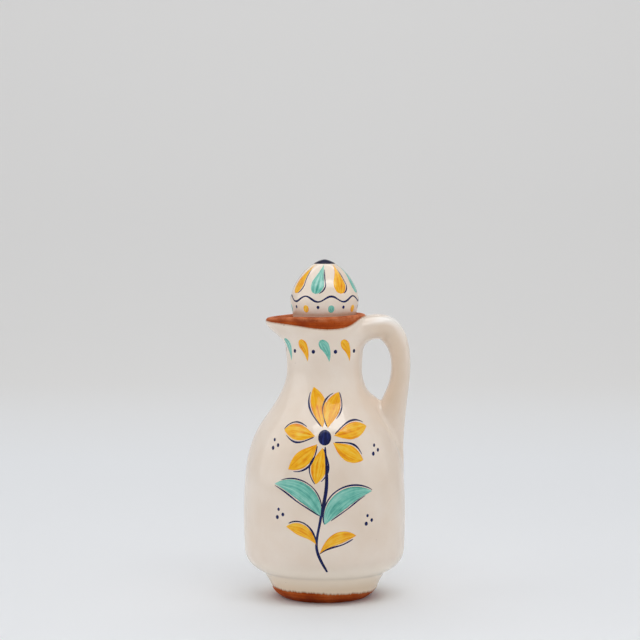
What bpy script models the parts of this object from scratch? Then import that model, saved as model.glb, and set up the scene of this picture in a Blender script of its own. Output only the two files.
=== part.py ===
# Oil carafe: a thrown red-clay body with a pulled spout and a strap handle, a cream glaze that
# leaves the lip and the foot bare, and a hollow onion-shaped stopper on a cork sleeve.
# Metres, +Z up. The origin is the centre of the flat base; the spout points to -X, the handle to +X.

import math

import bmesh
import bpy
from mathutils import Vector

# Glaze: one thickness everywhere, with a narrow gap to the clay that carries it
PIECE_GAP = 0.0003
GLAZE = 0.0005
SKIN = PIECE_GAP + GLAZE

# Body outline in bare clay: heights stacked from the base upwards, and outer radii
FOOT_HEIGHT = 0.0157
UNDERSIDE_HEIGHT = 0.0152
BELLY_HEIGHT = 0.0351
SHOULDER_HEIGHT = 0.0440
NECK_SWEEP_HEIGHT = 0.0250
MOUTH_HEIGHT = 0.0323
FOOT_RADIUS = 0.0311
WAIST_RADIUS = 0.0360
BELLY_RADIUS = 0.0468
SHOULDER_RADIUS = 0.0322
NECK_RADIUS = 0.0215
RIM_RADIUS = 0.0244

# Slopes of the outline, as radius gained per unit of height
FOOT_SLOPE = 0.03
FOOT_TOP_SLOPE = 0.70
UNDERSIDE_SLOPE = 2.10
BELLY_SLOPE = 0.055
SHOULDER_SLOPE = -0.76
RIM_SLOPE = 0.10

# Bevel under the foot, wall and floor
FOOT_BEVEL_HEIGHT = 0.0056
FOOT_BEVEL_INSET = 0.0056
FOOT_BEVEL_POWER = 1.2
WALL = 0.0045
FLOOR = 0.0075
FLOOR_ROUND = 0.0040

# Bare clay left by the glaze, measured down from the lip and up from the base
BARE_FOOT = 0.0066
BARE_LIP = 0.0065
BARE_LIP_AT_ENDS = 0.0024
BARE_SPREAD = math.radians(44)
BARE_INSIDE = 0.0062
GLAZE_LINE_WAVE = 0.0005

# Spout, pulled out of the rim with a finger
SPOUT_REACH = 0.0103
SPOUT_DROOP = 0.0014
SPOUT_HEIGHT = 0.0172
SPOUT_SPREAD = math.radians(31)

# Strap handle in bare clay; the bends are the reach of the curves along its back, from root to tail
HANDLE_THICKNESS = 0.0103
HANDLE_WIDTH = 0.0165
HANDLE_ROOT_THICKNESS = 0.0141
HANDLE_ROOT_WIDTH = 0.0250
HANDLE_TAIL_THICKNESS = 0.0200
HANDLE_TAIL_WIDTH = 0.0100
HANDLE_ROUNDNESS = 2.4
FINGER_ROOM = 0.0168
GRIP_DROP = 0.0297
ROOT_DROP = 0.0079
CROWN_RISE = 0.0124
ROOT_BEND = 0.0355
CROWN_BEND = 0.0180
GRIP_BEND = 0.0152
TAIL_BEND = 0.0460
TAIL_SINK = 0.0012

# Stopper: the seat is measured down from the rim, the rest up from the rim
SEAT_DEPTH = 0.0090
KNOB_LIP_ROOM = 0.0011
KNOB_RADIUS = 0.0202
KNOB_EQUATOR = 0.0092
KNOB_DOME_HEIGHT = 0.0237
KNOB_DOME_POWER = 1.6
KNOB_WALL = 0.0038
KNOB_UNDERCUT = 0.0023
TENON_RADIUS = 0.0100
TENON_BORE = 0.0062
TENON_TIP = 0.0012
CORK_LENGTH = 0.0150

# Fineness of the facets
BODY_SIDES = 36
STOPPER_SIDES = 24
HANDLE_SIDES = 14
OFFSET_STEPS = 12

# Heights worked out from the stack
WAIST_Z = FOOT_HEIGHT
BELLY_LOW_Z = WAIST_Z + UNDERSIDE_HEIGHT
BELLY_HIGH_Z = BELLY_LOW_Z + BELLY_HEIGHT
SHOULDER_Z = BELLY_HIGH_Z + SHOULDER_HEIGHT
NECK_Z = SHOULDER_Z + NECK_SWEEP_HEIGHT
RIM_Z = NECK_Z + MOUTH_HEIGHT
LIP_EDGE_Z = RIM_Z - WALL / 2
SEAT_Z = RIM_Z - SEAT_DEPTH

# Each stretch of the outline: height, radius and slope at its lower end, then at its upper end
OUTLINE = (
    (FOOT_BEVEL_HEIGHT, FOOT_RADIUS, FOOT_SLOPE, WAIST_Z, WAIST_RADIUS, FOOT_TOP_SLOPE),
    (WAIST_Z, WAIST_RADIUS, UNDERSIDE_SLOPE, BELLY_LOW_Z, BELLY_RADIUS, BELLY_SLOPE),
    (BELLY_LOW_Z, BELLY_RADIUS, BELLY_SLOPE, BELLY_HIGH_Z, BELLY_RADIUS, -BELLY_SLOPE),
    (BELLY_HIGH_Z, BELLY_RADIUS, -BELLY_SLOPE, SHOULDER_Z, SHOULDER_RADIUS, SHOULDER_SLOPE),
    (SHOULDER_Z, SHOULDER_RADIUS, SHOULDER_SLOPE, NECK_Z, NECK_RADIUS, 0.0),
    (NECK_Z, NECK_RADIUS, 0.0, RIM_Z, RIM_RADIUS, RIM_SLOPE),
)


def clear_scene():
    for thing in list(bpy.data.objects):
        bpy.data.objects.remove(thing, do_unlink=True)


def make_material(name, colour, roughness):
    material = bpy.data.materials.new(name)
    material.use_nodes = True
    shader = material.node_tree.nodes["Principled BSDF"]
    shader.inputs["Base Color"].default_value = (*colour, 1.0)
    shader.inputs["Roughness"].default_value = roughness
    shader.inputs["Metallic"].default_value = 0.0
    material.diffuse_color = (*colour, 1.0)
    return material


def spread(start, end, count):
    """Evenly spaced values after start, up to and including end."""
    return [start + (end - start) * (step + 1) / count for step in range(count)]


def smooth_step(value):
    value = min(max(value, 0.0), 1.0)
    return value * value * (3.0 - 2.0 * value)


def cubic(t, start, start_slope, end, end_slope):
    """Curve from start to end with the given slopes at its ends, for t from 0 to 1."""
    value = start * (2 * t**3 - 3 * t**2 + 1) + end * (3 * t**2 - 2 * t**3)
    return value + start_slope * (t**3 - 2 * t**2 + t) + end_slope * (t**3 - t**2)


def bezier(points, t):
    start, first, second, end = (Vector(point) for point in points)
    return (start * (1 - t) ** 3 + first * 3 * t * (1 - t) ** 2
            + second * 3 * t**2 * (1 - t) + end * t**3)


def outer_radius(z):
    """Radius of the bare clay outside, at a height above the base."""
    if z < FOOT_BEVEL_HEIGHT:
        return FOOT_RADIUS - FOOT_BEVEL_INSET * (1.0 - z / FOOT_BEVEL_HEIGHT) ** FOOT_BEVEL_POWER
    for low, low_radius, low_slope, high, high_radius, high_slope in OUTLINE:
        if z <= high:
            length = high - low
            t = (z - low) / length
            return cubic(t, low_radius, low_slope * length, high_radius, high_slope * length)
    return RIM_RADIUS


def moved_radius(z, distance):
    """Radius at a height on the outline moved outwards by a true distance, or inwards if negative."""
    reach = abs(distance)
    values = []
    for step in range(-OFFSET_STEPS, OFFSET_STEPS + 1):
        shift = reach * math.sin(math.pi / 2 * step / OFFSET_STEPS)
        span = math.sqrt(max(reach**2 - shift**2, 0.0))
        near = outer_radius(min(max(z + shift, 0.0), RIM_Z))
        values.append(near + math.copysign(span, distance))
    return max(values) if distance > 0 else min(values)


def turn_between(angle, middle):
    return abs(math.remainder(angle - middle, 2 * math.pi))


def spout_share(angle):
    """1 at the middle of the spout, falling to 0 round the rim."""
    return math.exp(-((turn_between(angle, math.pi) / SPOUT_SPREAD) ** 2))


def place(angle, radius, z):
    """Point of the wall, with the spout pulled out of the turned shape."""
    pull = spout_share(angle) * smooth_step((z - LIP_EDGE_Z) / SPOUT_HEIGHT + 1.0)
    radius += SPOUT_REACH * pull
    return Vector((radius * math.cos(angle), radius * math.sin(angle), z - SPOUT_DROOP * pull))


def foot_line(angle):
    wave = math.sin(3 * angle + 0.6) + 0.6 * math.sin(7 * angle + 2.0)
    return BARE_FOOT + GLAZE_LINE_WAVE * wave


def rim_line(angle):
    """Height at which the glaze stops under the lip; it climbs at the spout, and faster at the handle."""
    climb = math.exp(-((turn_between(angle, math.pi) / BARE_SPREAD) ** 2))
    climb += math.exp(-((turn_between(angle, 0.0) / BARE_SPREAD) ** 4))
    wave = math.sin(2 * angle + 1.1) + 0.5 * math.sin(5 * angle)
    bare = BARE_LIP - GLAZE_LINE_WAVE * wave
    return RIM_Z - bare - (BARE_LIP_AT_ENDS - bare) * min(climb, 1.0)


def wall_heights(angle):
    """Heights of the glazed wall outside, from the foot line to the rim line."""
    stations = (foot_line(angle), WAIST_Z, BELLY_LOW_Z, BELLY_HIGH_Z, SHOULDER_Z, NECK_Z, rim_line(angle))
    steps = (2, 5, 2, 5, 4, 5)
    heights = [stations[0]]
    for low, high, count in zip(stations, stations[1:], steps):
        heights += spread(low, high, count)
    return heights


def inside_heights():
    """Heights of the wall inside, from the bare mouth down to the rounded corner of the floor."""
    stations = (RIM_Z - BARE_INSIDE, NECK_Z, SHOULDER_Z, BELLY_HIGH_Z, BELLY_LOW_Z, FLOOR + FLOOR_ROUND)
    steps = (4, 2, 3, 1, 5)
    heights = [stations[0]]
    for high, low, count in zip(stations, stations[1:], steps):
        heights += spread(high, low, count)
    return heights


def body_angles():
    return [2 * math.pi * side / BODY_SIDES for side in range(BODY_SIDES)]


def flat_ring(radius, z):
    return [place(angle, radius, z) for angle in body_angles()]


def wall_rings(distance):
    """Rings of the glazed wall, on the clay outline moved outwards by a distance."""
    columns = []
    for angle in body_angles():
        columns.append([place(angle, moved_radius(z, distance), z) for z in wall_heights(angle)])
    return [list(ring) for ring in zip(*columns)]


def inside_rings(depth, lift):
    """Rings of the inside, from the mouth to the floor, at a depth from the outline."""
    rings = [flat_ring(moved_radius(z, -depth), z) for z in inside_heights()]
    corner = moved_radius(FLOOR + FLOOR_ROUND, -depth)
    for turn in (math.pi / 4, math.pi / 2):
        inset = FLOOR_ROUND * (1.0 - math.cos(turn))
        drop = (FLOOR_ROUND - lift) * math.sin(turn)
        rings.append(flat_ring(corner - inset, FLOOR + FLOOR_ROUND - drop))
    rings.append([Vector((0.0, 0.0, FLOOR + lift))])
    return rings


def loft(name, rings, closed=False):
    """Mesh object skinned over rings; a ring of one point is a pole, and closed joins last to first."""
    form = bmesh.new()
    corners = [[form.verts.new(point) for point in ring] for ring in rings]
    pairs = list(zip(corners, corners[1:]))
    if closed:
        pairs.append((corners[-1], corners[0]))
    for lower, upper in pairs:
        sides = max(len(lower), len(upper))
        for side in range(sides):
            after = (side + 1) % sides
            if len(lower) == 1:
                form.faces.new((lower[0], upper[after], upper[side]))
            elif len(upper) == 1:
                form.faces.new((lower[side], lower[after], upper[0]))
            else:
                form.faces.new((lower[side], lower[after], upper[after], upper[side]))
    bmesh.ops.triangulate(form, faces=form.faces, quad_method="SHORT_EDGE")
    mesh = bpy.data.meshes.new(name)
    form.to_mesh(mesh)
    form.free()
    mesh.shade_smooth()
    mesh.set_sharp_from_angle(angle=math.radians(40))
    thing = bpy.data.objects.new(name, mesh)
    bpy.context.scene.collection.objects.link(thing)
    return thing


def make_guide(thing):
    thing.hide_render = True
    thing.display_type = "WIRE"
    return thing


def combine(thing, operation, other):
    step = thing.modifiers.new(operation.title() + " " + other.name, "BOOLEAN")
    step.operation = operation
    step.solver = "EXACT"
    step.object = other


def lip_rings():
    """Bare lip, rounded over from the outside to the inside."""
    half = WALL / 2
    middle = RIM_RADIUS - half
    rings = []
    for step in range(5):
        turn = math.pi * step / 4
        rings.append(flat_ring(middle + half * math.cos(turn), LIP_EDGE_Z + half * math.sin(turn)))
    return rings


def foot_rings():
    """Flat base and the bevel under the foot."""
    rings = [[Vector((0.0, 0.0, 0.0))]]
    for z in [0.0] + spread(0.0, FOOT_BEVEL_HEIGHT, 3):
        rings.append(flat_ring(outer_radius(z), z))
    return rings


def make_body(clay):
    rings = foot_rings() + wall_rings(0.0) + lip_rings() + inside_rings(WALL, 0.0)
    body = loft("clay_body", rings)
    body.data.materials.append(clay)
    return body


def body_block(name):
    """Filled body, one gap larger than the clay, that parts the handle and the glaze from it."""
    rings = wall_rings(PIECE_GAP)
    below = [Vector((point.x, point.y, -FOOT_HEIGHT)) for point in rings[0]]
    bare_lip = flat_ring(RIM_RADIUS + PIECE_GAP, LIP_EDGE_Z)
    above = [Vector((point.x, point.y, RIM_Z + FOOT_HEIGHT)) for point in bare_lip]
    ends = ([Vector((0.0, 0.0, -FOOT_HEIGHT))], [Vector((0.0, 0.0, RIM_Z + FOOT_HEIGHT))])
    return make_guide(loft(name, [ends[0], below] + rings + [bare_lip, above, ends[1]]))


def handle_back():
    """Line along the back of the handle: over the crown to the grip, then down to the tail."""
    grip_x = NECK_RADIUS + 2 * SKIN + FINGER_ROOM + HANDLE_THICKNESS
    root_x = NECK_RADIUS - HANDLE_ROOT_WIDTH / 2
    tail_x = BELLY_RADIUS - TAIL_SINK
    root = (root_x, 0.0, RIM_Z - ROOT_DROP)
    grip = (grip_x, 0.0, RIM_Z - GRIP_DROP)
    tail = (tail_x, 0.0, BELLY_HIGH_Z)
    over = (root, (root_x + ROOT_BEND, 0.0, RIM_Z + CROWN_RISE), (grip_x, 0.0, grip[2] + CROWN_BEND), grip)
    down = (grip, (grip_x, 0.0, grip[2] - GRIP_BEND), (tail_x, 0.0, tail[2] + TAIL_BEND), tail)
    steps = 11
    points = [Vector(root)]
    for curve in (over, down):
        points += [bezier(curve, t) for t in spread(0.0, 1.0, steps)]
    return points


def handle_section(share):
    """Thickness and width of the strap at a share of its length: deep ends, a wide root, a narrow tail."""
    root = 1.0 - smooth_step(share * 2.0)
    tail = smooth_step((share - 0.67) / 0.16)
    thickness = (HANDLE_THICKNESS + (HANDLE_ROOT_THICKNESS - HANDLE_THICKNESS) * root
                 + (HANDLE_TAIL_THICKNESS - HANDLE_THICKNESS) * tail)
    width = (HANDLE_WIDTH + (HANDLE_ROOT_WIDTH - HANDLE_WIDTH) * (1.0 - smooth_step(share * 5.0 - 0.5))
             + (HANDLE_TAIL_WIDTH - HANDLE_WIDTH) * smooth_step(share * 3.0 - 2.0))
    return thickness, width


def handle_sweep(name, proud):
    """Rounded strap hung inwards from its back line, proud by a layer; its ends lie in the body."""
    back = handle_back()
    power = 2.0 / HANDLE_ROUNDNESS
    rings = []
    for index, point in enumerate(back):
        along = back[min(index + 1, len(back) - 1)] - back[max(index - 1, 0)]
        outward = Vector((-along.z, 0.0, along.x)).normalized()
        thickness, width = handle_section(index / (len(back) - 1))
        centre = point - outward * thickness / 2
        ring = []
        for side in range(HANDLE_SIDES):
            turn = 2 * math.pi * side / HANDLE_SIDES
            out = math.copysign(abs(math.cos(turn)) ** power, math.cos(turn)) * (thickness / 2 + proud)
            across = math.copysign(abs(math.sin(turn)) ** power, math.sin(turn)) * (width / 2 + proud)
            ring.append(centre + outward * out + Vector((0.0, -across, 0.0)))
        rings.append(ring)
    ends = [[sum(ring, Vector()) / HANDLE_SIDES] for ring in (rings[0], rings[-1])]
    return loft(name, [ends[0]] + rings + [ends[1]])


def make_handle(clay, block):
    handle = handle_sweep("clay_handle", 0.0)
    combine(handle, "DIFFERENCE", block)
    handle.data.materials.append(clay)
    return handle


def make_coat(cream, block):
    """Glaze over body and handle: both shapes with the skin added, less both without it."""
    rings = wall_rings(SKIN)
    ends = ([Vector((0.0, 0.0, BARE_FOOT))], [Vector((0.0, 0.0, RIM_Z - BARE_LIP))])
    coat = loft("glaze_coat", [ends[0]] + rings + [ends[1]])
    combine(coat, "UNION", make_guide(handle_sweep("coated_handle", SKIN)))
    combine(coat, "DIFFERENCE", block)
    combine(coat, "DIFFERENCE", make_guide(handle_sweep("handle_core", PIECE_GAP)))
    coat.data.materials.append(cream)
    return coat


def make_lining(cream):
    outside = inside_rings(WALL + PIECE_GAP, PIECE_GAP)
    inside = inside_rings(WALL + SKIN, SKIN)
    lining = loft("glaze_lining", outside[::-1] + inside)
    lining.data.materials.append(cream)
    return lining


def throat_radius(z):
    """Radius of the glazed throat that the stopper seats in."""
    return moved_radius(z, -(WALL + SKIN))


def knob_outline():
    """Glazed outside of the knob as radius and height above its seat, from the seat to the tip."""
    seat = Vector((throat_radius(SEAT_Z) - PIECE_GAP, 0.0))
    at_rim = Vector((RIM_RADIUS - WALL - KNOB_LIP_ROOM, SEAT_DEPTH))
    points = [seat + (at_rim - seat) * share for share in (0.0, 0.5, 1.0)]
    lean = (at_rim.x - seat.x) / SEAT_DEPTH
    for share in spread(0.0, 1.0, 3):
        radius = cubic(share, at_rim.x, lean * KNOB_EQUATOR, KNOB_RADIUS, 0.0)
        points.append(Vector((radius, SEAT_DEPTH + KNOB_EQUATOR * share)))
    for turn in spread(0.0, math.pi / 2, 8)[:-1]:
        radius = KNOB_RADIUS * math.cos(turn) ** (2.0 / KNOB_DOME_POWER)
        rise = KNOB_DOME_HEIGHT * math.sin(turn) ** (2.0 / KNOB_DOME_POWER)
        points.append(Vector((radius, SEAT_DEPTH + KNOB_EQUATOR + rise)))
    points.append(Vector((0.0, SEAT_DEPTH + KNOB_EQUATOR + KNOB_DOME_HEIGHT)))
    return points


def inset_outline(points, depth):
    """Outline moved in by a depth; its last point stays on the axis."""
    moved = []
    for index, point in enumerate(points[:-1]):
        along = points[index + 1] - points[max(index - 1, 0)]
        inward = Vector((-along.y, along.x)).normalized()
        moved.append(point + inward * depth)
    moved.append(points[-1] - Vector((0.0, depth)))
    return moved


def turned(name, outline, closed=False):
    """Solid of revolution; the outline runs with the material on its left side."""
    rings = []
    for radius, z in outline:
        sides = STOPPER_SIDES if radius > 0.0 else 1
        ring = []
        for side in range(sides):
            angle = 2 * math.pi * side / STOPPER_SIDES
            ring.append(Vector((radius * math.cos(angle), radius * math.sin(angle), z)))
        rings.append(ring)
    return loft(name, rings, closed)


def make_knob(clay):
    """Hollow knob with a tubular tenon under it, open at the bottom as a thrown one is."""
    outside = inset_outline(knob_outline(), SKIN)
    hollow = inset_outline(knob_outline(), SKIN + KNOB_WALL)
    hollow = [point for point in hollow if point.y > KNOB_WALL]
    tenon_end = -(KNOB_UNDERCUT + PIECE_GAP + CORK_LENGTH + TENON_TIP)
    seat = outside[0]
    underside = [Vector((TENON_BORE, KNOB_WALL - KNOB_UNDERCUT)), Vector((TENON_BORE, tenon_end)),
                 Vector((TENON_RADIUS, tenon_end)), Vector((TENON_RADIUS, -KNOB_UNDERCUT)),
                 Vector((seat.x - KNOB_UNDERCUT, -KNOB_UNDERCUT)),
                 Vector((seat.x - KNOB_UNDERCUT * 0.3, seat.y - KNOB_UNDERCUT * 0.7))]
    knob = turned("stopper_knob", hollow[::-1] + underside + outside)
    knob.data.materials.append(clay)
    return knob


def make_knob_glaze(cream):
    outside = knob_outline()
    inside = inset_outline(outside, GLAZE)
    glaze = turned("stopper_glaze", inside[::-1] + outside)
    glaze.data.materials.append(cream)
    return glaze


def make_cork(bark):
    """Cork sleeve pressed to the flare of the throat, bored for the knob's tenon."""
    top = -(KNOB_UNDERCUT + PIECE_GAP)
    heights = [top - CORK_LENGTH] + spread(top - CORK_LENGTH, top, 4)
    outside = [Vector((throat_radius(SEAT_Z + z) - PIECE_GAP, z)) for z in heights]
    bore = [Vector((TENON_RADIUS + PIECE_GAP, z)) for z in (top, top - CORK_LENGTH)]
    cork = turned("stopper_cork", outside + bore, closed=True)
    cork.data.materials.append(bark)
    return cork


def make_stopper(clay, cream, bark):
    """Knob, glaze and cork, hung on an empty at the seat, on the axis that they turn and lift along."""
    axis = bpy.data.objects.new("stopper_axis", None)
    axis.location = (0.0, 0.0, SEAT_Z)
    bpy.context.scene.collection.objects.link(axis)
    for piece in (make_knob(clay), make_knob_glaze(cream), make_cork(bark)):
        piece.parent = axis


def main():
    clear_scene()
    clay = make_material("red_clay", (0.40, 0.13, 0.05), 0.75)
    cream = make_material("cream_glaze", (0.74, 0.66, 0.56), 0.15)
    bark = make_material("cork", (0.52, 0.34, 0.19), 0.9)
    block = body_block("body_block")
    make_body(clay)
    make_handle(clay, block)
    make_coat(cream, block)
    make_lining(cream)
    make_stopper(clay, cream, bark)


main()
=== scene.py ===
import math

import bmesh
import bpy
import numpy as np
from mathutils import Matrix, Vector
from mathutils.bvhtree import BVHTree


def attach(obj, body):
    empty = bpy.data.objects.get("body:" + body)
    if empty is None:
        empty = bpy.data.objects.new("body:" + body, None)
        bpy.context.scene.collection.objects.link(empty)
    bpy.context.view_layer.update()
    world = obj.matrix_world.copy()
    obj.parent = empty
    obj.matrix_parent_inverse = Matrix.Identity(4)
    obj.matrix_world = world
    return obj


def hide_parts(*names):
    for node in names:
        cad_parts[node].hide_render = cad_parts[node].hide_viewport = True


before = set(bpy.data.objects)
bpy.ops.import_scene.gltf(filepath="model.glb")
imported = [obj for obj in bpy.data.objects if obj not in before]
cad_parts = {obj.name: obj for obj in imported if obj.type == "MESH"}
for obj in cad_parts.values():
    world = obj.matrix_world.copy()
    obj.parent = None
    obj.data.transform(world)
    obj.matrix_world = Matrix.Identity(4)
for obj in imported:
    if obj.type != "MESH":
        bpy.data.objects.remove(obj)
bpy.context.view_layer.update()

scene = bpy.context.scene
scene.view_settings.view_transform = "Standard"
print("frame loaded:", ", ".join(sorted(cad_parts)))


def tone(red, green, blue):  # screen colour, 0 to 255, as scene light
    values = []
    for value in (red / 255, green / 255, blue / 255):
        values.append(value / 12.92 if value <= 0.04045 else ((value + 0.055) / 1.055) ** 2.4)
    return (*values, 1.0)


# camera at the photograph's viewing angle

cameraView = {"place": (-0.0027, -1.15, 0.2339), "aimHeight": 0.1643, "fieldOfView": 18.7}


def makeCamera():
    lens = bpy.data.cameras.new("studioCamera")
    lens.angle = math.radians(cameraView["fieldOfView"])
    camera = bpy.data.objects.new("studioCamera", lens)
    camera.location = cameraView["place"]
    drop = cameraView["place"][2] - cameraView["aimHeight"]
    camera.rotation_euler = (math.atan2(-cameraView["place"][1], drop), 0.0, 0.0)
    scene.collection.objects.link(camera)
    scene.camera = camera


makeCamera()
print("camera set")


# node trees: a wire is one output of a node, and can be reckoned with

class Wire:
    def __init__(self, node, out):
        self.node = node
        self.tree = node.id_data
        self.socket = node.outputs[out]

    def out(self, name):  # another output of the same node
        return Wire(self.node, name)

    def __add__(self, other):
        return calc("ADD", self, other)

    def __sub__(self, other):
        return calc("SUBTRACT", self, other)

    def __rsub__(self, other):
        return calc("SUBTRACT", other, self)

    def __mul__(self, other):
        return calc("MULTIPLY", self, other)

    def __truediv__(self, other):
        return calc("DIVIDE", self, other)

    def __rtruediv__(self, other):
        return calc("DIVIDE", other, self)


def plug(node, inputs):  # wires are linked, plain values are set
    for name, value in inputs.items():
        if isinstance(value, Wire):
            value.tree.links.new(value.socket, node.inputs[name])
        else:
            node.inputs[name].default_value = value


def add(tree, kind, inputs=None, out=0, **settings):
    node = tree.nodes.new(kind)
    for name, value in settings.items():
        setattr(node, name, value)
    plug(node, inputs or {})
    return Wire(node, out)


def treeOf(*values):
    return next(value.tree for value in values if isinstance(value, Wire))


def calc(operation, first, second=0.0):
    return add(treeOf(first, second), "ShaderNodeMath", {0: first, 1: second}, operation=operation)


def vector(operation, first, second=None, scale=None):
    inputs = {0: first, 1: second, "Scale": scale}
    used = {name: value for name, value in inputs.items() if value is not None}
    return add(treeOf(first, second), "ShaderNodeVectorMath", used, operation=operation)


def joinAxes(x, y, z):
    return add(treeOf(x, y, z), "ShaderNodeCombineXYZ", {0: x, 1: y, 2: z})


def axisOf(wire, axis):
    return add(wire.tree, "ShaderNodeSeparateXYZ", {0: wire}, axis)


def noise(place, scale, detail=2.0, roughness=0.5):
    inputs = {"Vector": place, "Scale": scale, "Detail": detail, "Roughness": roughness}
    return add(place.tree, "ShaderNodeTexNoise", inputs, "Fac")


def startTree(name, sockets):
    tree = bpy.data.node_groups.new(name, "GeometryNodeTree")
    for label, kind in sockets.items():
        tree.interface.new_socket(label, in_out="INPUT", socket_type="NodeSocket" + kind)
    tree.interface.new_socket("Piece", in_out="OUTPUT", socket_type="NodeSocketGeometry")
    entry = tree.nodes.new("NodeGroupInput")
    return tree, {label: Wire(entry, label) for label in sockets}


def endTree(tree, geometry, material, weld):  # closes the seams and dresses the piece
    closed = add(tree, "GeometryNodeMergeByDistance", {"Geometry": geometry, "Distance": weld})
    smooth = add(tree, "GeometryNodeSetShadeSmooth", {"Geometry": closed})
    real = add(tree, "GeometryNodeRealizeInstances", {"Geometry": smooth})
    dressed = add(tree, "GeometryNodeSetMaterial", {"Geometry": real, "Material": material})
    plug(tree.nodes.new("NodeGroupOutput"), {0: dressed})


def attributeValue(tree, name):
    return add(tree, "GeometryNodeInputNamedAttribute", {"Name": name}, "Attribute", data_type="FLOAT")


def storeValue(geometry, name, value):
    inputs = {"Geometry": geometry, "Name": name, "Value": value}
    return add(geometry.tree, "GeometryNodeStoreNamedAttribute", inputs, data_type="FLOAT")


def lineObject(name, points, values, joins=None):  # bare line with a number at each point
    mesh = bpy.data.meshes.new(name)
    mesh.from_pydata(points, joins or [(step, step + 1) for step in range(len(points) - 1)], [])
    for label, numbers in values.items():
        mesh.attributes.new(label, "FLOAT", "POINT").data.foreach_set("value", numbers)
    piece = bpy.data.objects.new(name, mesh)
    scene.collection.objects.link(piece)
    return piece


def runTree(piece, tree, values):  # runs the tree on a line and leaves a plain mesh
    modifier = piece.modifiers.new(tree.name, "NODES")
    modifier.node_group = tree
    for item in tree.interface.items_tree:
        if item.in_out == "INPUT" and item.name in values:
            modifier[item.identifier] = values[item.name]
    graph = bpy.context.evaluated_depsgraph_get()
    mesh = bpy.data.meshes.new_from_object(piece.evaluated_get(graph))
    piece.modifiers.clear()
    piece.data = mesh
    mesh.name = piece.name
    faceOutwards(mesh)
    return piece


def pointArray(mesh, label):
    values = np.zeros(len(mesh.vertices) * 3)
    mesh.vertices.foreach_get(label, values)
    return values.reshape(-1, 3)


def faceOutwards(mesh):  # a closed body with negative volume is inside out
    mesh.calc_loop_triangles()
    corners = np.zeros(len(mesh.loop_triangles) * 3, int)
    mesh.loop_triangles.foreach_get("vertices", corners)
    first, second, third = pointArray(mesh, "co")[corners.reshape(-1, 3)].transpose(1, 0, 2)
    if np.einsum("ij,ij->i", first, np.cross(second, third)).sum() < 0:
        mesh.flip_normals()


# finishes

def startMaterial(name):
    material = bpy.data.materials.new(name)
    material.use_nodes = True
    tree = material.node_tree
    return material, tree, tree.nodes["Principled BSDF"]


def objectSpace(tree, stretch=(1, 1, 1)):
    place = add(tree, "ShaderNodeTexCoord", out="Object")
    return add(tree, "ShaderNodeMapping", {"Vector": place, "Scale": stretch})


def ramp(factor, stops):
    scale = add(factor.tree, "ShaderNodeValToRGB", {"Fac": factor}, "Color")
    elements = scale.node.color_ramp.elements
    while len(elements) < len(stops):
        elements.new(0.5)
    for element, (place, colour) in zip(elements, stops):
        element.position = place
        element.color = colour
    return scale


def mixTone(factor, first, second):
    return add(factor.tree, "ShaderNodeMix", {0: factor, 6: first, 7: second}, 2, data_type="RGBA")


def spanOf(value, low, high, start, end):
    inputs = {"Value": value, "From Min": low, "From Max": high, "To Min": start, "To Max": end}
    return add(value.tree, "ShaderNodeMapRange", inputs)


def pointValue(tree, name):
    return add(tree, "ShaderNodeAttribute", out="Fac", attribute_name=name)


def bumpOf(height, strength, distance):
    inputs = {"Height": height, "Strength": strength, "Distance": distance}
    return add(height.tree, "ShaderNodeBump", inputs)


glazeFinish = {  # whole numbers are the scales of patterns
    "pale": tone(246, 231, 216), "warm": tone(240, 221, 202), "cloud": 38, "curdle": 620,
    # pooled: whiter glaze low on the wall, partly pooled glaze and partly painted light lifting the shade
    # over the foot
    "pooledAndPaintedLight": tone(255, 245, 228), "pooledAndPaintedLightZ": (0.016, 0.026),
    "tan": tone(240, 216, 187), "tanZ": (0.009, 0.018),
    # the side tone is painted shade, with a painted reflection of the red clay, for the handle's flanks and
    # inner face; the tone after it is a painted highlight for the handle's crown
    "side": tone(224, 194, 160), "flankShadeShare": 0.58, "crownHighlight": tone(255, 251, 246), "crownHighlightShare": 0.85,
    # the thin tone is clay showing through thin glaze at the edges, and on the knob painted shade and painted
    # reflection near the lip
    "thin": tone(176, 116, 66), "fleck": tone(120, 84, 56), "fleckGrid": 95, "fleckPatch": 70,
    "glossPatch": 120, "gloss": (0.03, 0.06), "index": 1.65,
    "peel": 160, "finePeel": 900, "bump": (0.08, 0.0006),
}


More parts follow.
